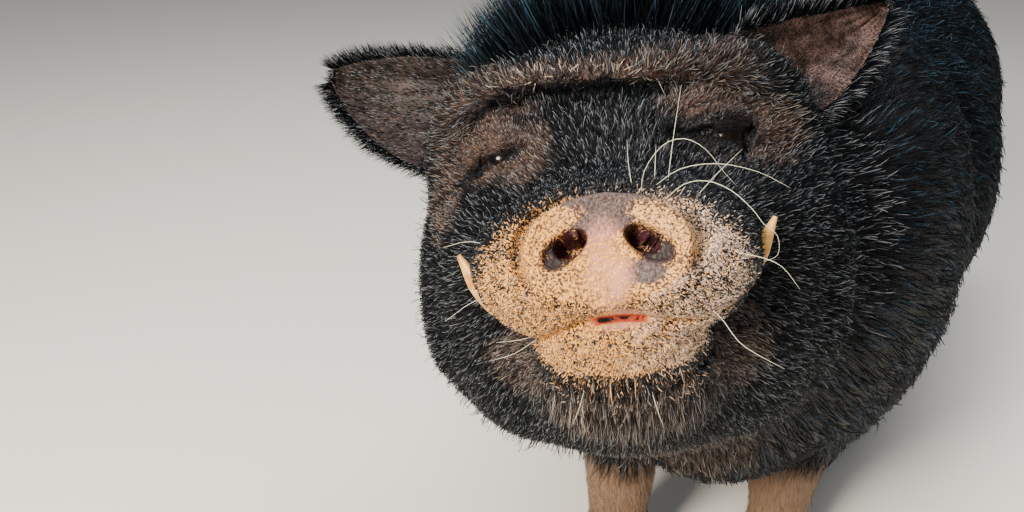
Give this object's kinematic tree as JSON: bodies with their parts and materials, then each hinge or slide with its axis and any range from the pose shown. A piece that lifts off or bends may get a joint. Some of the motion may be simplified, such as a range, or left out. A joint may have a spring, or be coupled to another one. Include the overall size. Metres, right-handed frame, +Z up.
{
  "type": "domestic pig",
  "caption": "Life-size standing pot-bellied boar with a bristly crest, hanging belly, folded brow, short snout with tusks, cupped ears and cloven hooves.",
  "frame": {"origin": "on the ground under the middle of the model's bounding box", "axes": "+Z up, +Y towards the tail, +X to the pig's left"},
  "size_m": [0.5116, 1.2336, 0.5635],
  "materials": {
    "coat_black": "black bristly coat over dark hide, muddy tan on the muzzle",
    "sock_pale": "short cream hair over pink skin",
    "ear_hide": "bare brown hide inside, black hair at the edges",
    "hoof_horn": "worn horn",
    "ivory": "yellowed tusk ivory",
    "eye": "wet dark brown"
  },
  "bodies": {
    "root": {"head": "coat_black", "neck": "coat_black", "torso": "coat_black", "tail": "coat_black", "ear_l": "ear_hide", "eye_l": "eye", "tusk_lower_l": "ivory", "tusk_upper_l": "ivory", "foreleg_l": "sock_pale", "hindleg_l": "coat_black", "hoof_fore_l_inner": "hoof_horn", "dewclaw_fore_l_inner": "hoof_horn", "hoof_fore_l_outer": "hoof_horn", "dewclaw_fore_l_outer": "hoof_horn", "hoof_hind_l_inner": "hoof_horn", "dewclaw_hind_l_inner": "hoof_horn", "hoof_hind_l_outer": "hoof_horn", "dewclaw_hind_l_outer": "hoof_horn", "ear_r": "ear_hide", "eye_r": "eye", "tusk_lower_r": "ivory", "tusk_upper_r": "ivory", "foreleg_r": "sock_pale", "hindleg_r": "coat_black", "hoof_fore_r_inner": "hoof_horn", "dewclaw_fore_r_inner": "hoof_horn", "hoof_fore_r_outer": "hoof_horn", "dewclaw_fore_r_outer": "hoof_horn", "hoof_hind_r_inner": "hoof_horn", "dewclaw_hind_r_inner": "hoof_horn", "hoof_hind_r_outer": "hoof_horn", "dewclaw_hind_r_outer": "hoof_horn"}
  },
  "joints": []
}
